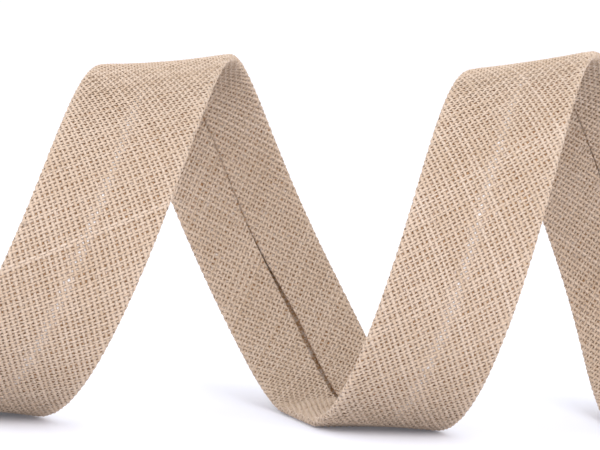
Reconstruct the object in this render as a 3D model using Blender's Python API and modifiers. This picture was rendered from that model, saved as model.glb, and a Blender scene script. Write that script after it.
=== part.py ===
"""A length of single-fold bias binding, curled into an open spiral that stands on its own turns.

The strip is made as a binding is: a flat strip of cloth has both long edges folded to the middle of
its inner side, and the folded tape is then curled. Metres, +Z up, the origin on the surface that the
curl stands on, under the middle of its box. +X runs along the curl, from its left end to its right.
"""
import math

import bmesh
import bpy
import numpy as np

MM = 0.001

# The folded tape, in millimetres. The cut edges meet a little to the right of the middle.
TAPE_WIDTH = 14.0
CLOTH = 0.45
SLIT = 0.3
SEAM_GAP = 0.6
SEAM_OFFSET = 0.4

# The curl, in millimetres and turns. Turn 0, 1 and 2 lie on the ground, and 0.5 and 1.5 are tops.
PITCH = 39.7
LOOP_RADIUS = 18.8
FLAT_TURN = 0.028
# What an eighth of a turn past the ground or past a top adds along the curl, and to the lean
EIGHTH_ALONG = -0.4
EIGHTH_LEAN = 7.0

# A row for each quarter turn: the shift from a plain spiral along it and in depth, the height that
# the loop reaches, all in millimetres, and the lean of the tape about its own length, in degrees
ROWS = (
    # turn, along, depth, height, lean
    (-0.25, -6.8, 0.5, 41.6, -10.0),
    (0.00, -2.9, -2.5, 48.9, 16.0),
    (0.25, 2.5, -1.5, 45.5, -5.0),
    (0.50, -0.3, 11.5, 35.8, 18.0),
    (0.75, 0.7, -1.5, 28.1, 9.0),
    (1.00, 1.7, -2.5, 35.5, -2.0),
    (1.25, 1.2, 1.5, 38.1, -1.0),
    (1.50, -0.5, 4.0, 38.6, 14.0),
    (1.75, 1.0, 0.0, 31.6, -15.0),
    (2.00, -3.8, 1.0, 34.6, 6.0),
    (2.25, -6.7, 0.0, 41.5, -7.0),
)

# How finely the curl and each folded edge are divided
STATIONS = 156
FOLD_STEPS = 4
FINE_STEPS = 2000

COTTON_COLOUR = (0.68, 0.52, 0.40, 1.0)
COTTON_ROUGHNESS = 0.95

NODE_NAME = "binding"


def clear_scene():
    for item in list(bpy.data.objects):
        bpy.data.objects.remove(item, do_unlink=True)


def natural_spline(knots, values, where):
    """The cubic spline through the rows, straight at both ends."""
    step = np.diff(knots)
    slope = np.diff(values) / step
    count = len(knots)
    matrix = np.eye(count)
    right_side = np.zeros(count)
    for row in range(1, count - 1):
        matrix[row, row - 1:row + 2] = step[row - 1], 2.0 * (step[row - 1] + step[row]), step[row]
        right_side[row] = 6.0 * (slope[row] - slope[row - 1])
    bend = np.linalg.solve(matrix, right_side)
    cell = np.clip(np.searchsorted(knots, where) - 1, 0, count - 2)
    ahead = knots[cell + 1] - where
    past = where - knots[cell]
    width = step[cell]
    return (
        (bend[cell] * ahead ** 3 + bend[cell + 1] * past ** 3) / (6.0 * width)
        + (values[cell] / width - bend[cell] * width / 6.0) * ahead
        + (values[cell + 1] / width - bend[cell + 1] * width / 6.0) * past
    )


def unit(vectors):
    return vectors / np.linalg.norm(vectors, axis=1, keepdims=True)


def rolling_angle(turn):
    """The angle round the loop, held at zero over the flat spot that each turn stands on."""
    past_ground = turn - np.round(turn)
    beyond_flat = np.maximum(np.abs(past_ground) - FLAT_TURN, 0.0) / (0.5 - FLAT_TURN)
    return np.pi * np.sign(past_ground) * beyond_flat


def curl_frames():
    """Evenly spaced frames along the tape: its middle, and the directions across it and outward."""
    rows = np.array(ROWS)
    turn = np.linspace(rows[0, 0], rows[-1, 0], FINE_STEPS)
    along, depth, height, lean = (natural_spline(rows[:, 0], column, turn) for column in rows[:, 1:].T)
    angle = rolling_angle(turn)
    lift = (1.0 - np.cos(angle)) / 2.0
    eighth = np.sin(4.0 * np.pi * turn)
    middle = np.stack((
        PITCH * (turn - 1.0) + along + EIGHTH_ALONG * eighth,
        -LOOP_RADIUS * np.sin(2.0 * np.pi * turn) + depth,
        height * lift + CLOTH + SLIT / 2.0,
    ), axis=1)
    forward = unit(np.gradient(middle, turn, axis=0))
    radial = np.stack((np.zeros_like(angle), -np.sin(angle), -np.cos(angle)), axis=1)
    outward = unit(radial - (radial * forward).sum(axis=1, keepdims=True) * forward)
    across = np.cross(forward, outward)
    # The lean fades out at the ground, where the tape lies flat
    tilt = np.radians((lean + EIGHTH_LEAN * eighth) * (1.0 - (1.0 - lift) ** 4))[:, None]
    leaning_across = across * np.cos(tilt) + outward * np.sin(tilt)
    leaning_outward = outward * np.cos(tilt) - across * np.sin(tilt)
    # Just past the flat spot one edge of the tape turns down, so it is lifted to graze the ground
    edge_drop = np.abs(leaning_across[:, 2]) * TAPE_WIDTH / 2.0
    cloth_drop = np.abs(leaning_outward[:, 2]) * (CLOTH + SLIT / 2.0)
    middle[:, 2] = np.maximum(middle[:, 2], edge_drop + cloth_drop)
    run = np.concatenate(([0.0], np.cumsum(np.linalg.norm(np.diff(middle, axis=0), axis=1))))
    even_run = np.linspace(0.0, run[-1], STATIONS + 1)
    return tuple(
        np.stack([np.interp(even_run, run, axis) for axis in table.T], axis=1)
        for table in (middle, leaning_across, leaning_outward)
    )


def folded_section():
    """The middle of the cloth's thickness, from one cut edge round to the other: (across, outward)."""
    fold_radius = (CLOTH + SLIT) / 2.0
    fold_centre = TAPE_WIDTH / 2.0 - fold_radius - CLOTH / 2.0
    left_edge = SEAM_OFFSET - SEAM_GAP / 2.0
    right_edge = SEAM_OFFSET + SEAM_GAP / 2.0
    angles = [math.pi * step / FOLD_STEPS for step in range(FOLD_STEPS + 1)]
    left_fold = [
        (-fold_centre - fold_radius * math.sin(angle), -fold_radius * math.cos(angle)) for angle in angles
    ]
    right_fold = [(-across, outward) for across, outward in reversed(left_fold)]
    section = [(left_edge, -fold_radius)] + left_fold + [(0.0, fold_radius)] + right_fold
    return section + [(right_edge, -fold_radius)]


def build_binding(collection):
    middle, across, outward = curl_frames()
    section = folded_section()
    strips = len(section) - 1
    mesh = bpy.data.meshes.new(NODE_NAME)
    grid = bmesh.new()
    bmesh.ops.create_grid(grid, x_segments=STATIONS, y_segments=strips, size=1.0)
    for vertex in grid.verts:
        station = round((vertex.co.x + 1.0) / 2.0 * STATIONS)
        side, out = section[round((vertex.co.y + 1.0) / 2.0 * strips)]
        vertex.co = (middle[station] + side * across[station] + out * outward[station]) * MM
    grid.to_mesh(mesh)
    grid.free()
    binding = bpy.data.objects.new(NODE_NAME, mesh)
    collection.objects.link(binding)
    cloth = binding.modifiers.new("cloth", "SOLIDIFY")
    cloth.thickness = CLOTH * MM
    cloth.offset = 0.0
    cloth.use_even_offset = True
    return binding


def centre_on_origin(binding):
    """Moves the mesh so that the origin is under the middle of the finished cloth's box."""
    finished = binding.evaluated_get(bpy.context.evaluated_depsgraph_get())
    corners = np.array([corner[:] for corner in finished.bound_box])
    middle = (corners.min(axis=0) + corners.max(axis=0)) / 2.0
    for vertex in binding.data.vertices:
        vertex.co.x -= middle[0]
        vertex.co.y -= middle[1]


def cotton_material():
    """Unbleached cotton, a matt beige."""
    cotton = bpy.data.materials.new("cotton")
    cotton.use_nodes = True
    surface = cotton.node_tree.nodes["Principled BSDF"]
    surface.inputs["Base Color"].default_value = COTTON_COLOUR
    surface.inputs["Roughness"].default_value = COTTON_ROUGHNESS
    surface.inputs["Metallic"].default_value = 0.0
    return cotton


def main():
    clear_scene()
    collection = bpy.data.collections.new("bias binding")
    bpy.context.scene.collection.children.link(collection)
    binding = build_binding(collection)
    centre_on_origin(binding)
    binding.data.materials.append(cotton_material())
    binding.data.shade_smooth()


main()
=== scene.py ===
"""Bias binding in an open curl: plain-weave cotton laid yarn by yarn, folded to a tape and curled."""
import math

import bmesh
import bpy
import numpy as np
from mathutils import Matrix, Vector


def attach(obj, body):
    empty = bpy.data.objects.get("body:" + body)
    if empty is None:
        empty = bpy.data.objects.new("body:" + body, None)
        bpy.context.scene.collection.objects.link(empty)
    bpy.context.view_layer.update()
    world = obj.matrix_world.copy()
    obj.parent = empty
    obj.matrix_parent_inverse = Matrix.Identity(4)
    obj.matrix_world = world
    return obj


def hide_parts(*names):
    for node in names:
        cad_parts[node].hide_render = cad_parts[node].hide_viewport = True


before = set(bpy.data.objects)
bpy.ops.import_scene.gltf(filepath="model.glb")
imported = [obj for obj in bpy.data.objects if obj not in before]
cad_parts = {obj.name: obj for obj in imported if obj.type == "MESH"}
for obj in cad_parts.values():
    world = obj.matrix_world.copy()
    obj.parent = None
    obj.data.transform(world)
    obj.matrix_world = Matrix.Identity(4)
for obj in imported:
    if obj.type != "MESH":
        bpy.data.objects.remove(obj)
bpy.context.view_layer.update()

MM = 0.001

# The folded tape, in millimetres, as the solid has it: its width, how thick each layer is, the space
# between the layers, and the usual gap between the two cut edges
TAPE_WIDTH = 14.0
CLOTH = 0.45
SLIT = 0.3
SEAM_GAP = 0.6
FOLD_RADIUS = (CLOTH + SLIT) / 2.0
FOLD_CENTRE = TAPE_WIDTH / 2.0 - FOLD_RADIUS - CLOTH / 2.0
FOLD_ARC = math.pi * FOLD_RADIUS

# The flat strip's width, with its two folded edges
STRIP_WIDTH = 4.0 * FOLD_CENTRE + 2.0 * FOLD_ARC - SEAM_GAP

# The curl, in millimetres, degrees and turns: turns 0, 1 and 2 are on the ground, 0.5 and 1.5 are tops
PITCH = 39.7
LOOP_RADIUS = 18.8
FLAT_TURN = 0.028
# A shift along and a lean that are strongest an eighth of a turn past each bottom and top, and opposite
# an eighth of a turn before
EIGHTH_ALONG = -0.4
EIGHTH_LEAN = 7.0
# These rows, the pitch, the radius and the two values above are the rounded results of a separate fit of
# the curl to the tape's outline in the photo, and the solid's source holds the same ones
ROWS = (
    # turn, along, depth, height, lean
    (-0.25, -6.8, 0.5, 41.6, -10.0),
    (0.00, -2.9, -2.5, 48.9, 16.0),
    (0.25, 2.5, -1.5, 45.5, -5.0),
    (0.50, -0.3, 11.5, 35.8, 18.0),
    (0.75, 0.7, -1.5, 28.1, 9.0),
    (1.00, 1.7, -2.5, 35.5, -2.0),
    (1.25, 1.2, 1.5, 38.1, -1.0),
    (1.50, -0.5, 4.0, 38.6, 14.0),
    (1.75, 1.0, 0.0, 31.6, -15.0),
    (2.00, -3.8, 1.0, 34.6, 6.0),
    (2.25, -6.7, 0.0, 41.5, -7.0),
)
# The lean fades out towards the ground, by this power of how near the ground the tape is
LEAN_FADE = 4
FINE_STEPS = 2000
# What moves the curl from where these rows put it to its place in the frame
SHIFT = np.array([6.51, 0.63, 0.0])

# Where the two cut edges meet inside, in millimetres to the right of the tape's middle or, below zero, to
# the left, and how far they gape. They nearly touch on the way down from each top and gape towards the
# ground. The offsets at turns 0.15 to 0.38, 0.6 to 0.92 and 1.2 to 1.4 were picked from places that a
# separate program measured in the photo. The rest was set one by one.
SEAM = (
    # turn, offset, gap
    (-0.25, 0.30, 0.34),
    (0.00, 0.50, 0.40),
    (0.15, 0.35, 0.75),
    (0.25, 0.02, 0.80),
    (0.38, -0.20, 0.60),
    (0.50, 0.10, 0.16),
    (0.60, 0.25, 0.06),
    (0.69, 0.10, 0.10),
    (0.73, 0.22, 0.20),
    (0.76, 0.33, 0.42),
    (0.80, 0.45, 0.56),
    (0.86, 0.20, 0.58),
    (0.92, 0.02, 0.52),
    (1.00, 0.10, 0.38),
    (1.15, 0.45, 0.75),
    (1.20, 0.50, 0.80),
    (1.30, 0.33, 0.80),
    (1.40, 0.42, 0.60),
    (1.50, 0.75, 0.20),
    (1.58, 1.10, 0.08),
    (1.66, 1.20, 0.14),
    (1.75, 0.90, 0.32),
    (2.00, 0.35, 0.40),
    (2.25, 0.30, 0.60),
)

# The weave, in millimetres and degrees. The strip is cut on the bias, so both sets of yarns cross it
# slantwise, the weft about 18 to the centimetre and the warp about 26. The warp lies in pairs, so the
# larger holes are between the pairs.
WEFT_PITCH = 0.567
WEFT_SLANT = -37.2
WARP_PAIR_PITCH = 0.760
WARP_PAIR_GAP = 0.33
WARP_SLANT = 45.0
WEFT_WIDTH = 0.35
WEFT_DEPTH = 0.16
WARP_WIDTH = 0.25
WARP_DEPTH = 0.14
WEFT_CRIMP = 0.085
WARP_CRIMP = 0.115
# Shorter ends of yarn, at the corners of the strip, are left out
SHORTEST_YARN = 2.0
# How much the yarns of the flaps, which are pressed twice, are spread
PRESSED_FLAP = 1.03
# What the iron does along the folds: it takes this share off the crimp, widens the yarns and thins them
CREASE_CRIMP = 0.6
CREASE_WIDENS = 0.15
CREASE_THINS = 0.25
# How far from a fold's middle the iron's press has faded out, in lengths of the fold's arc
CREASE_REACH = 1.2
# Where a yarn has extra rings as it goes round a fold, as shares of the fold's arc
FOLD_RINGS = (0.02, 0.25, 0.5, 0.75, 0.98)
# A yarn's rings sit at its crossings, apart from those nearer than this to its ends
CROSSING_MARGIN = 0.05
# A yarn at either end of the strip that meets less than this share of a whole one's crossings has evenly
# spaced rings instead
FULL_YARN = 0.9
# How far a yarn wanders from its line, and how fast, in radians to the millimetre
WANDER = 0.022
WANDER_RATE = (0.5, 1.1)
# Spun yarn is thick and thin: the spread from yarn to yarn and from ring to ring, and its limits
YARN_SPREAD = 0.08
RING_SPREAD = 0.11
THINNEST = 0.75
THICKEST = 1.3
SEED = 7
# A yarn's sides, and how many pieces the weave is divided into
SIDES = 4
PARTS = 5
# Places nearer than this to a strip's end, in millimetres, are on it
TOUCHING = 0.001
# How far apart a bundle's yarns stand before they are laid, only to keep them apart
BUNDLE_STEP = 3.0

# The web inside the cloth, which stands for loose fibres and carries the holes' painted shade, in
# millimetres:
# its height between the layers, how far it frays past the cut edges and over the middle, and how much of
# each strip end is pinched shut
WEB_HEIGHT = -0.1
WEB_FRAY = 0.03
WEB_OVERLAP = 0.02
WEB_PINCH = 0.1
# Its height where it is pinched, at which its two layers all but touch
WEB_PINCHED = 0.02 - FOLD_RADIUS
WEB_STEPS = 480
WEB_COLUMNS = 12
# Which of the web's columns fall on the seam's line, on two steps out from it, on the start and the end of
# the fold and on the cut edge; how far out the steps are; and how strong the pale band of painted light is
# at each place
WEB_PLACES = np.array([0.0, 1.0, 2.0, 3.0, 10.0, 12.0]) / WEB_COLUMNS
WEB_BAND = (0.0, 0.3, 1.1)
BAND_FADE = (1.0, 0.4, 0.0, 0.0, 0.0, 0.0)
# How light the web's painted shade is: in the outer layer, in the flaps, and what the seam and its band
# add as painted light
CLOTH_LIGHT = 0.42
FLAP_LIGHT = 0.55
SEAM_LIGHT = 0.15
BAND_LIGHT = 0.80

# Colours, in sRGB, darkest first
YARN_COLOURS = ("#B3997F", "#CCB8A5")
# The web's: dark brown painted shade for the holes, a warm brown between, and near-white painted light for
# the seam
PAINTED_SHADE_AND_LIGHT_COLOURS = ("#6C4628", "#B48E6A", "#F8F3F0")
PAPER_COLOUR = "#E1E2E8"
PAPER_GLOW_COLOUR = "#F0F1FF"

# The photo's camera: which way it looks, its distance, and where the aim point falls in the picture. Its
# three angles, distance, scale and aim pixel come from the same fit as the curl's rows.
AIM = (0.00651, 0.00063, 0.0236)
CAMERA_TURN = 0.33
CAMERA_DOWN = 4.44
CAMERA_ROLL = 2.3
CAMERA_DISTANCE = 0.4092
PIXELS_PER_MM = 9.202
AIM_PIXEL = (354.8, 204.2)
PICTURE = (600, 450)
SENSOR = 36.0
NEAREST = 0.01

# The light: a pale surrounding, brighter at the horizon than overhead, and three softboxes
COOL_WHITE = (0.98, 0.99, 1.03)
HORIZON_STRENGTH = 1.52
OVERHEAD_STRENGTH = 1.12
LIGHT_AIM = (0.0, 0.0, 0.02)
SOFTBOXES = (
    # name, place and side in metres, power in watts
    ("softbox at the front right", (0.45, -0.6, 0.5), 0.7, 3.6),
    ("softbox at the front left", (-0.45, -0.6, 0.5), 0.7, 1.7),
    ("softbox at the left", (-0.7, -0.15, 0.35), 0.5, 0.7),
)
# The paper under the curl: half its width in metres, and how strongly it glows
PAPER_REACH = 3.0
PAPER_GLOW = 0.09


def linear(code):
    """An sRGB hex colour as linear RGBA."""
    values = [int(code[i:i + 2], 16) / 255.0 for i in (1, 3, 5)]
    return tuple(v / 12.92 if v <= 0.04045 else ((v + 0.055) / 1.055) ** 2.4 for v in values) + (1.0,)


def add_node(tree, kind, settings=None, links=None):
    """Adds a node, sets its properties and inputs, and links its inputs, each by name or number."""
    node = tree.nodes.new(kind)
    for name, value in (settings or {}).items():
        if isinstance(name, str) and hasattr(node, name):
            setattr(node, name, value)
        else:
            node.inputs[name].default_value = value
    for name, source in (links or {}).items():
        tree.links.new(source, node.inputs[name])
    return node


def natural_spline(knots, values, where):
    """The cubic spline through the rows, straight at both ends."""
    step = np.diff(knots)
    slope = np.diff(values) / step
    count = len(knots)
    matrix = np.eye(count)
    right_side = np.zeros(count)
    for row in range(1, count - 1):
        matrix[row, row - 1:row + 2] = step[row - 1], 2.0 * (step[row - 1] + step[row]), step[row]
        right_side[row] = 6.0 * (slope[row] - slope[row - 1])
    bend = np.linalg.solve(matrix, right_side)
    cell = np.clip(np.searchsorted(knots, where) - 1, 0, count - 2)
    ahead = knots[cell + 1] - where
    past = where - knots[cell]
    width = step[cell]
    return (
        (bend[cell] * ahead ** 3 + bend[cell + 1] * past ** 3) / (6.0 * width)
        + (values[cell] / width - bend[cell] * width / 6.0) * ahead
        + (values[cell + 1] / width - bend[cell + 1] * width / 6.0) * past
    )


def unit(vectors):
    """Vectors of length 1 in the same directions."""
    return vectors / np.linalg.norm(vectors, axis=1, keepdims=True)


def rolling_angle(turn):
    """The angle round the loop, held at zero over the flat spot that each turn stands on."""
    past_ground = turn - np.round(turn)
    beyond_flat = np.maximum(np.abs(past_ground) - FLAT_TURN, 0.0) / (0.5 - FLAT_TURN)
    return np.pi * np.sign(past_ground) * beyond_flat


def curl_frames():
    """Run along the tape, and at each step its middle and the directions across it and outward."""
    rows = np.array(ROWS)
    turn = np.linspace(rows[0, 0], rows[-1, 0], FINE_STEPS)
    along, depth, height, lean = (natural_spline(rows[:, 0], column, turn) for column in rows[:, 1:].T)
    angle = rolling_angle(turn)
    lift = (1.0 - np.cos(angle)) / 2.0
    eighth = np.sin(4.0 * np.pi * turn)
    middle = np.stack((
        PITCH * (turn - 1.0) + along + EIGHTH_ALONG * eighth,
        -LOOP_RADIUS * np.sin(2.0 * np.pi * turn) + depth,
        height * lift + CLOTH + SLIT / 2.0,
    ), axis=1)
    forward = unit(np.gradient(middle, turn, axis=0))
    radial = np.stack((np.zeros_like(angle), -np.sin(angle), -np.cos(angle)), axis=1)
    outward = unit(radial - (radial * forward).sum(axis=1, keepdims=True) * forward)
    across = np.cross(forward, outward)
    tilt = np.radians((lean + EIGHTH_LEAN * eighth) * (1.0 - (1.0 - lift) ** LEAN_FADE))[:, None]
    leaning_across = across * np.cos(tilt) + outward * np.sin(tilt)
    leaning_outward = outward * np.cos(tilt) - across * np.sin(tilt)
    edge_drop = np.abs(leaning_across[:, 2]) * TAPE_WIDTH / 2.0
    cloth_drop = np.abs(leaning_outward[:, 2]) * (CLOTH + SLIT / 2.0)
    # Where it leans near the ground, it is lifted until its lower edge only touches
    middle[:, 2] = np.maximum(middle[:, 2], edge_drop + cloth_drop)
    run = np.concatenate(([0.0], np.cumsum(np.linalg.norm(np.diff(middle, axis=0), axis=1))))
    return run, middle, leaning_across, leaning_outward


RUN, MIDDLE, ACROSS, OUTWARD = curl_frames()
LENGTH = RUN[-1]


def fold(along, across, height):
    """Folds the flat strip's long edges to its middle: places along, across and out from the tape."""
    side = np.sign(across)
    reach = np.abs(across)
    angle = np.clip((reach - FOLD_CENTRE) / FOLD_RADIUS, 0.0, math.pi)
    past_fold = np.maximum(reach - FOLD_CENTRE - FOLD_ARC, 0.0)
    straight = np.minimum(reach, FOLD_CENTRE)
    radius = FOLD_RADIUS + height
    sideways = side * (straight + radius * np.sin(angle) - past_fold)
    return along, sideways, radius * np.cos(angle)


def curl(along, sideways, outward):
    """Bends the folded tape round its curl, in millimetres."""
    def at(table):
        return np.stack([np.interp(along, RUN, table[:, axis]) for axis in range(3)], axis=-1)
    return at(MIDDLE) + sideways[..., None] * at(ACROSS) + outward[..., None] * at(OUTWARD)


def seam_at(run_there):
    """The turn at places along the strip, and the seam's offset and gap there."""
    rows = np.array(SEAM)
    turn = np.interp(run_there, RUN, np.linspace(ROWS[0][0], ROWS[-1][0], FINE_STEPS))
    return turn, np.interp(turn, rows[:, 0], rows[:, 1]), np.interp(turn, rows[:, 0], rows[:, 2])


def cut_edges(run_there):
    """The across places of the left cut edge, at the first run, and of the right one, at the second."""
    _, offset, gap = seam_at(run_there)
    reach = 2.0 * FOLD_CENTRE + FOLD_ARC
    return np.array([-(reach + offset[0] - gap[0] / 2.0), reach - offset[1] - gap[1] / 2.0])


class YarnSet:
    """One set of parallel yarns in the flat strip: their direction, pitch, section and crimp."""

    def __init__(self, name, slant, pitch, width, depth, crimp, sign):
        self.name = name
        self.pitch = pitch
        self.direction = np.array([math.cos(math.radians(slant)), math.sin(math.radians(slant))])
        self.normal = np.array([-self.direction[1], self.direction[0]])
        self.width = width
        self.depth = depth
        self.crimp = crimp
        self.sign = sign


def even_lines(pitch, reach):
    """Places of single yarns, a pitch apart, and their numbers."""
    count = int(reach / pitch)
    index = np.arange(-count, count + 1)
    return index * pitch, index


def paired_lines(pitch, gap, reach):
    """Places of yarns that lie in pairs, and their numbers."""
    count = int(reach / pitch)
    index = np.arange(-2 * count, 2 * count + 2)
    return (index // 2) * pitch + (index % 2) * gap, index


def creased(across):
    """How far the iron has pressed a place flat: wholly in the middle of a fold, not at all far from it."""
    from_fold = np.abs(np.abs(across) - FOLD_CENTRE - FOLD_ARC / 2.0) / FOLD_ARC
    return np.clip(CREASE_REACH - from_fold, 0.0, 1.0)


def lay_yarns(yarns, own_lines, own_index, other, other_lines, random):
    """Centres of the rings of every yarn of a set, in the flat strip: (yarn, ring, 3)."""
    sine = float(np.dot(other.normal, yarns.direction))
    spacing = float(np.mean(np.diff(other_lines))) / abs(sine)
    full_length = STRIP_WIDTH / abs(yarns.direction[1])
    crossings = int(full_length / spacing) + 1
    rings = crossings + 2 + 2 * len(FOLD_RINGS)
    bends = (FOLD_CENTRE + FOLD_ARC * np.array(FOLD_RINGS))[:, None] * np.array([-1.0, 1.0])
    centres, tones = [], []
    for place, index in zip(own_lines, own_index):
        start = yarns.normal * place
        # Where the yarn's line enters and leaves the strip, as distances along it. The cut edges depend
        # on how far along the strip the line meets them, so they are found twice, the second time closer.
        reach_cut = np.array([-STRIP_WIDTH, STRIP_WIDTH]) / 2.0
        for _ in range(2):
            run_there = start[0] + (reach_cut - start[1]) / yarns.direction[1] * yarns.direction[0]
            reach_cut = cut_edges(run_there)
        across_limits = np.sort((reach_cut - start[1]) / yarns.direction[1])
        along_limits = np.sort((np.array([0.0, LENGTH]) - start[0]) / yarns.direction[0])
        first = max(across_limits[0], along_limits[0])
        last = min(across_limits[1], along_limits[1])
        if last - first < SHORTEST_YARN:
            continue
        # Distances along the yarn at which it meets the other set's yarns
        meets = (other_lines - float(np.dot(other.normal, start))) / sine
        order = np.argsort(meets)
        meets = meets[order]
        number = OTHER_NUMBERS[other.name][order]
        inside = np.flatnonzero((meets > first + CROSSING_MARGIN) & (meets < last - CROSSING_MARGIN))
        if len(inside) >= FULL_YARN * crossings:
            at_bends = (bends.ravel() - start[1]) / yarns.direction[1]
            at_bends = np.clip(at_bends, first, last)
            crossed = meets[inside[:crossings]]
            spare = np.linspace(crossed[-1], last, crossings - len(crossed) + 2)[1:-1]
            stations = np.sort(np.concatenate(([first], crossed, spare, [last], at_bends)))
        else:
            stations = np.linspace(first, last, rings)
        # Over one yarn and under the next
        phase = np.interp(stations, meets, np.arange(len(meets)) + (number[0] + index) % 2)
        height = yarns.sign * yarns.crimp * np.cos(math.pi * phase)
        height = height * (1.0 - CREASE_CRIMP * creased(start[1] + stations * yarns.direction[1]))
        wander = random.normal(0.0, WANDER)
        wander = wander + WANDER * np.sin(stations * random.uniform(*WANDER_RATE) + index)
        points = start + stations[:, None] * yarns.direction + wander[:, None] * yarns.normal
        centres.append(np.column_stack((points, height)))
        tones.append(random.normal(0.0, 1.0))
    return np.array(centres), np.array(tones)


WEFT = YarnSet("weft", WEFT_SLANT, WEFT_PITCH, WEFT_WIDTH, WEFT_DEPTH, WEFT_CRIMP, 1.0)
WARP = YarnSet("warp", WARP_SLANT, WARP_PAIR_PITCH / 2.0, WARP_WIDTH, WARP_DEPTH, WARP_CRIMP, -1.0)
REACH = LENGTH + 2.0 * TAPE_WIDTH
WEFT_LINES, WEFT_NUMBERS = even_lines(WEFT_PITCH, REACH)
WARP_LINES, WARP_NUMBERS = paired_lines(WARP_PAIR_PITCH, WARP_PAIR_GAP, REACH)
OTHER_NUMBERS = {"weft": WEFT_NUMBERS, "warp": WARP_NUMBERS}


def yarn_tube(rings):
    """A straight four-sided yarn, closed at both ends, with its rings a unit apart."""
    tube = bmesh.new()
    bmesh.ops.create_cone(
        tube, cap_ends=True, segments=SIDES, radius1=1.0, radius2=1.0, depth=rings - 1.0,
        matrix=Matrix.Translation((0.0, 0.0, (rings - 1.0) / 2.0)),
    )
    long_edges = [edge for edge in tube.edges if abs(edge.verts[0].co.z - edge.verts[1].co.z) > 0.5]
    bmesh.ops.subdivide_edges(tube, edges=long_edges, cuts=rings - 2, use_grid_fill=True)
    return tube


def yarn_bundle(name, count, rings):
    """Copies of one straight yarn, and for each vertex its yarn, ring and side."""
    tube = yarn_tube(rings)
    mesh = bpy.data.meshes.new(name)
    tube.to_mesh(mesh)
    tube.free()
    places = np.empty(len(mesh.vertices) * 3)
    mesh.vertices.foreach_get("co", places)
    places = places.reshape(-1, 3)
    ring = np.round(places[:, 2]).astype(int)
    around = np.degrees(np.arctan2(places[:, 1], places[:, 0])) / (360.0 / SIDES)
    side = np.round(around).astype(int) % SIDES
    row = bpy.data.objects.new(name, mesh)
    bpy.context.scene.collection.objects.link(row)
    copies = row.modifiers.new("copies", "ARRAY")
    copies.count = count
    copies.use_relative_offset = False
    copies.use_constant_offset = True
    copies.constant_offset_displace = (BUNDLE_STEP, 0.0, 0.0)
    evaluated = row.evaluated_get(bpy.context.evaluated_depsgraph_get())
    bundle = bpy.data.meshes.new_from_object(evaluated)
    bpy.data.objects.remove(row)
    bpy.data.meshes.remove(mesh)
    return bundle, np.repeat(np.arange(count), len(ring)), np.tile(ring, count), np.tile(side, count)


def weave_bundle(yarns, centres, tones, random):
    """A bundle's mesh with every vertex in its place in the curl, and a tone for each yarn."""
    count, rings = centres.shape[:2]
    bundle, yarn, ring, side = yarn_bundle(yarns.name, count, rings)
    thickness = 1.0 + YARN_SPREAD * random.normal(size=(count, 1))
    thickness = thickness + RING_SPREAD * random.normal(size=(count, rings))
    pressed = np.where(np.abs(centres[:, :, 1]) > FOLD_CENTRE + FOLD_ARC, PRESSED_FLAP, 1.0)
    swell = (np.clip(thickness, THINNEST, THICKEST) * pressed)[yarn, ring]
    middle = centres[yarn, ring]
    flattened = creased(middle[:, 1])
    right_of_middle = np.array([1.0, 0.0, -1.0, 0.0])[side]
    above_middle = np.array([0.0, 1.0, 0.0, -1.0])[side]
    sideways = right_of_middle * yarns.width / 2.0 * swell * (1.0 + CREASE_WIDENS * flattened)
    up = above_middle * yarns.depth / 2.0 * swell * (1.0 - CREASE_THINS * flattened)
    along = middle[:, 0] + sideways * yarns.normal[0]
    across = middle[:, 1] + sideways * yarns.normal[1]
    # The scissors cut each yarn along the strip's edge or end, not square across the yarn
    cut_here = (ring == 0) | (ring == rings - 1)
    at_strip_end = (middle[:, 0] < TOUCHING) | (middle[:, 0] > LENGTH - TOUCHING)
    run, rise = yarns.direction
    slide = sideways * np.where(at_strip_end, rise / run, -run / rise) * cut_here
    along += slide * run
    across += slide * rise
    placed = (curl(*fold(along, across, middle[:, 2] + up)) + SHIFT) * MM
    bundle.vertices.foreach_set("co", placed.ravel().astype(np.float32))
    tone = bundle.attributes.new("tone", "FLOAT", "POINT")
    tone.data.foreach_set("value", tones[yarn].astype(np.float32))
    bundle.update()
    return bundle


def join_meshes(name, meshes, material):
    """One object from several meshes, smooth and with its faces outwards."""
    whole = bmesh.new()
    for mesh in meshes:
        whole.from_mesh(mesh)
        bpy.data.meshes.remove(mesh)
    bmesh.ops.recalc_face_normals(whole, faces=whole.faces)
    mesh = bpy.data.meshes.new(name)
    whole.to_mesh(mesh)
    whole.free()
    mesh.materials.append(material)
    mesh.shade_smooth()
    piece = bpy.data.objects.new(name, mesh)
    bpy.context.scene.collection.objects.link(piece)
    return piece


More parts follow.
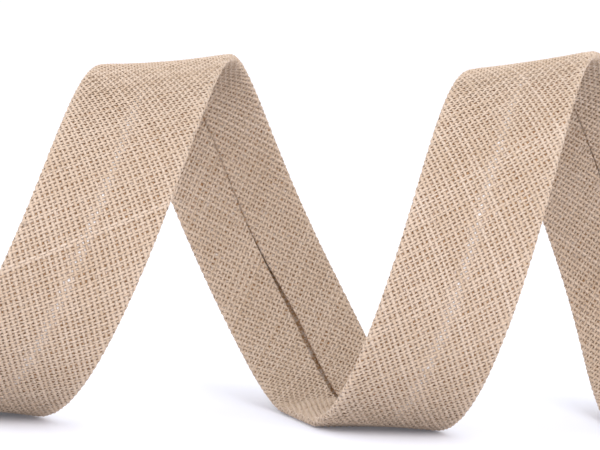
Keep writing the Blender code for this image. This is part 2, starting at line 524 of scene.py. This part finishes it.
def cotton_material():
    """Unbleached cotton, spun and plain-woven.

    To the eye it is matt and warm beige, with a faint soft sheen at glancing angles, a fine fibrous grain
    along every yarn, and slightly paler and darker yarns and patches.
    """
    material = bpy.data.materials.new("cotton yarn")
    material.use_nodes = True
    tree = material.node_tree
    surface = tree.nodes["Principled BSDF"]
    surface.inputs["Roughness"].default_value = 0.9
    surface.inputs["Sheen Weight"].default_value = 0.15
    surface.inputs["Sheen Roughness"].default_value = 0.5
    surface.inputs["Specular IOR Level"].default_value = 0.3
    place = add_node(tree, "ShaderNodeTexCoord")
    # A cotton fibre is about 0.02 mm thick, too fine to show, so the grain is drawn 0.11 mm wide
    fibres = add_node(tree, "ShaderNodeTexNoise", {"Scale": 9.0 / MM, "Detail": 2.0},
                      {"Vector": place.outputs["Object"]})
    # Patches of uneven colour, about 6 mm wide, as in unbleached cloth
    patches = add_node(tree, "ShaderNodeTexNoise", {"Scale": 0.16 / MM, "Detail": 2.0},
                       {"Vector": place.outputs["Object"]})
    # The yarn's own tone moves the colour most, the grain less and the patches least
    tone = add_node(tree, "ShaderNodeAttribute", {"attribute_name": "tone"})
    of_yarn = add_node(tree, "ShaderNodeMath", {"operation": "MULTIPLY_ADD", 1: 0.12, 2: 0.5},
                       {0: tone.outputs["Fac"]})
    of_fibres = add_node(tree, "ShaderNodeMath", {"operation": "MULTIPLY_ADD", 1: 0.7, 2: -0.35},
                         {0: fibres.outputs["Fac"]})
    of_patches = add_node(tree, "ShaderNodeMath", {"operation": "MULTIPLY_ADD", 1: 0.3, 2: -0.15},
                          {0: patches.outputs["Fac"]})
    fine = add_node(tree, "ShaderNodeMath", {"operation": "ADD"},
                    {0: of_yarn.outputs[0], 1: of_fibres.outputs[0]})
    total = add_node(tree, "ShaderNodeMath", {"operation": "ADD"},
                     {0: fine.outputs[0], 1: of_patches.outputs[0]})
    colours = add_node(tree, "ShaderNodeValToRGB", links={"Fac": total.outputs[0]})
    colours.color_ramp.elements[0].color = linear(YARN_COLOURS[0])
    colours.color_ramp.elements[1].color = linear(YARN_COLOURS[1])
    tree.links.new(colours.outputs["Color"], surface.inputs["Base Color"])
    # The grain stands up by a fibre's thickness
    relief = add_node(tree, "ShaderNodeBump", {"Strength": 0.25, "Distance": 0.02 * MM},
                      {"Height": fibres.outputs["Fac"]})
    tree.links.new(relief.outputs["Normal"], surface.inputs["Normal"])
    return material


def weave_binding():
    """The whole strip, woven in slanting bundles so that no piece is too large, each with its length."""
    random = np.random.default_rng(SEED)
    cotton = cotton_material()
    weft, weft_tones = lay_yarns(WEFT, WEFT_LINES, WEFT_NUMBERS, WARP, WARP_LINES, random)
    warp, warp_tones = lay_yarns(WARP, WARP_LINES, WARP_NUMBERS, WEFT, WEFT_LINES, random)
    pieces = []
    for part in range(PARTS):
        meshes, covered = [], []
        for yarns, centres, tones in ((WEFT, weft, weft_tones), (WARP, warp, warp_tones)):
            edges = np.linspace(0, len(centres), PARTS + 1).astype(int)
            chosen = slice(edges[part], edges[part + 1])
            meshes.append(weave_bundle(yarns, centres[chosen], tones[chosen], random))
            # The cloth that a set of yarns covers is their length times their pitch
            reach = centres[chosen, -1, :2] - centres[chosen, 0, :2]
            covered.append(np.linalg.norm(reach, axis=1).sum() * yarns.pitch)
        piece = join_meshes("woven_cotton_%d" % (part + 1), meshes, cotton)
        pieces.append((piece, sum(covered) / 2.0 / STRIP_WIDTH))
    return pieces


def painted_shade_web():
    """A thin web inside the folded cloth, for the fibre fuzz in its holes, with painted shade and light."""
    halves = []
    for side in (-1.0, 1.0):
        grid = bmesh.new()
        bmesh.ops.create_grid(grid, x_segments=WEB_STEPS, y_segments=WEB_COLUMNS, size=0.5)
        grid.verts.ensure_lookup_table()
        flat = np.array([vert.co for vert in grid.verts])
        run_there = (flat[:, 0] + 0.5) * LENGTH
        turn, offset, gap = seam_at(run_there)
        middle = side * offset - WEB_OVERLAP
        cut = 2.0 * FOLD_CENTRE + FOLD_ARC - side * offset - gap / 2.0 + WEB_FRAY
        # From the seam's line out to the fold, round it and back to the cut edge
        place = flat[:, 1] + 0.5
        stops = np.array([middle + width for width in WEB_BAND] + [
            np.full_like(cut, FOLD_CENTRE), np.full_like(cut, FOLD_CENTRE + FOLD_ARC), cut])
        step = np.searchsorted(WEB_PLACES, place - 1e-6, side="right").clip(1, len(WEB_PLACES) - 1)
        before, after = WEB_PLACES[step - 1], WEB_PLACES[step]
        share = (place - before) / (after - before)
        column = np.arange(len(place))
        reach = stops[step - 1, column] * (1.0 - share) + stops[step, column] * share
        # Pressed together at both ends of the strip
        from_end = np.minimum(run_there, LENGTH - run_there)
        height = np.where(from_end < WEB_PINCH, WEB_PINCHED, WEB_HEIGHT)
        placed = (curl(*fold(run_there, side * reach, height)) + SHIFT) * MM
        for vert, point in zip(grid.verts, placed):
            vert.co = point
        mesh = bpy.data.meshes.new("web half")
        grid.to_mesh(mesh)
        grid.free()
        # Painted light: paler along the seam at the fronts of the turns, as if daylight came between the
        # cut edges
        front = np.maximum(0.0, np.sin(2.0 * np.pi * turn)) ** 0.5
        near_middle = np.interp(place, WEB_PLACES, BAND_FADE)
        # Beyond half-way round the fold it is a flap's web
        light = np.where(place > 0.5, FLAP_LIGHT, CLOTH_LIGHT)
        light = light + near_middle * (SEAM_LIGHT + BAND_LIGHT * front)
        painted_shade_light = mesh.attributes.new("light", "FLOAT", "POINT")
        painted_shade_light.data.foreach_set("value", light.astype(np.float32))
        halves.append(mesh)
    return join_meshes("painted_shade_fuzz_web", halves, painted_shade_material())


def painted_shade_material():
    """Loose cotton fibres, teased out of the yarns into the cloth's holes, with painted shade and light.

    To the eye they are a matt, warm brown haze that closes each hole unevenly, its brown darkened with
    painted shade, and nearly white along the seam, with painted light for daylight coming past the cut
    edges.
    """
    material = bpy.data.materials.new("fibre fuzz with painted shade and light")
    material.use_nodes = True
    tree = material.node_tree
    surface = tree.nodes["Principled BSDF"]
    surface.inputs["Roughness"].default_value = 1.0
    surface.inputs["Specular IOR Level"].default_value = 0.1
    place = add_node(tree, "ShaderNodeTexCoord")
    # Clumps 0.4 mm wide, which is about one hole, so that the holes' fuzz and painted shade differ
    uneven_fuzz_and_shade = add_node(tree, "ShaderNodeTexNoise", {"Scale": 2.5 / MM, "Detail": 3.0},
                      {"Vector": place.outputs["Object"]})
    spread = add_node(tree, "ShaderNodeMath", {"operation": "MULTIPLY_ADD", 1: 1.4, 2: -0.7},
                      {0: uneven_fuzz_and_shade.outputs["Fac"]})
    painted_shade_light = add_node(tree, "ShaderNodeAttribute", {"attribute_name": "light"})
    total = add_node(tree, "ShaderNodeMath", {"operation": "ADD"},
                     {0: spread.outputs[0], 1: painted_shade_light.outputs["Fac"]})
    colours = add_node(tree, "ShaderNodeValToRGB", links={"Fac": total.outputs[0]})
    ramp = colours.color_ramp.elements
    ramp[0].color = linear(PAINTED_SHADE_AND_LIGHT_COLOURS[0])
    ramp[1].color = linear(PAINTED_SHADE_AND_LIGHT_COLOURS[2])
    ramp.new(0.5).color = linear(PAINTED_SHADE_AND_LIGHT_COLOURS[1])
    tree.links.new(colours.outputs["Color"], surface.inputs["Base Color"])
    return material


def place_camera():
    """The photo's camera, with its picture shifted sideways and up to the photo's framing."""
    turn, down, roll = (math.radians(value) for value in (CAMERA_TURN, CAMERA_DOWN, CAMERA_ROLL))
    right = Vector((math.cos(turn), math.sin(turn), 0.0))
    ahead = Vector((-math.sin(turn) * math.cos(down), math.cos(turn) * math.cos(down), -math.sin(down)))
    up = right.cross(ahead)
    right, up = right * math.cos(roll) + up * math.sin(roll), up * math.cos(roll) - right * math.sin(roll)
    camera = bpy.data.objects.new("camera", bpy.data.cameras.new("camera"))
    bpy.context.scene.collection.objects.link(camera)
    turned = Matrix((right, up, -ahead)).transposed().to_4x4()
    camera.matrix_world = Matrix.Translation(Vector(AIM) - ahead * CAMERA_DISTANCE) @ turned
    camera.data.sensor_width = SENSOR
    camera.data.lens = PIXELS_PER_MM / MM * CAMERA_DISTANCE / PICTURE[0] * SENSOR
    camera.data.shift_x = (PICTURE[0] / 2.0 - AIM_PIXEL[0]) / PICTURE[0]
    camera.data.shift_y = (AIM_PIXEL[1] - PICTURE[1] / 2.0) / PICTURE[0]
    camera.data.clip_start = NEAREST
    bpy.context.scene.camera = camera


def add_softbox(name, place, side, power):
    """A square softbox that faces the curl."""
    light = bpy.data.objects.new(name, bpy.data.lights.new(name, "AREA"))
    light.data.size = side
    light.data.energy = power
    light.data.color = COOL_WHITE
    light.location = place
    light.rotation_euler = (Vector(LIGHT_AIM) - Vector(place)).to_track_quat("-Z", "Y").to_euler()
    bpy.context.scene.collection.objects.link(light)


def light_studio():
    """Soft daylight all round, and the softboxes."""
    bpy.context.scene.view_settings.view_transform = "Standard"
    world = bpy.data.worlds.new("studio")
    bpy.context.scene.world = world
    world.use_nodes = True
    background = world.node_tree.nodes["Background"]
    background.inputs["Color"].default_value = COOL_WHITE + (1.0,)
    direction = add_node(world.node_tree, "ShaderNodeTexCoord")
    parts = add_node(world.node_tree, "ShaderNodeSeparateXYZ",
                     links={"Vector": direction.outputs["Generated"]})
    strength = add_node(world.node_tree, "ShaderNodeMapRange",
                        {"To Min": HORIZON_STRENGTH, "To Max": OVERHEAD_STRENGTH},
                        {"Value": parts.outputs["Z"]})
    world.node_tree.links.new(strength.outputs["Result"], background.inputs["Strength"])
    for name, place, side, power in SOFTBOXES:
        add_softbox(name, place, side, power)


def paper_material():
    """Uncoated white paper.

    To the eye it is matt and almost pure white. Its faint cool glow keeps the shadows as pale and bluish as
    in the photo.
    """
    material = bpy.data.materials.new("white paper")
    material.use_nodes = True
    surface = material.node_tree.nodes["Principled BSDF"]
    surface.inputs["Base Color"].default_value = linear(PAPER_COLOUR)
    surface.inputs["Roughness"].default_value = 0.9
    surface.inputs["Emission Color"].default_value = linear(PAPER_GLOW_COLOUR)
    surface.inputs["Emission Strength"].default_value = PAPER_GLOW
    return material


def lay_floor():
    """The paper that the curl stands on, which also fills the picture's background."""
    paper = bmesh.new()
    bmesh.ops.create_grid(paper, x_segments=1, y_segments=1, size=PAPER_REACH)
    mesh = bpy.data.meshes.new("floor")
    paper.to_mesh(mesh)
    paper.free()
    mesh.materials.append(paper_material())
    floor = bpy.data.objects.new("floor", mesh)
    bpy.context.scene.collection.objects.link(floor)


def main():
    """Builds the studio, then the pieces that stand in for the binding's solid."""
    place_camera()
    light_studio()
    lay_floor()
    web = painted_shade_web()
    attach(web, "root")
    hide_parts("binding")
    for piece, length in weave_binding():
        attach(piece, "root")
        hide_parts("binding")


main()
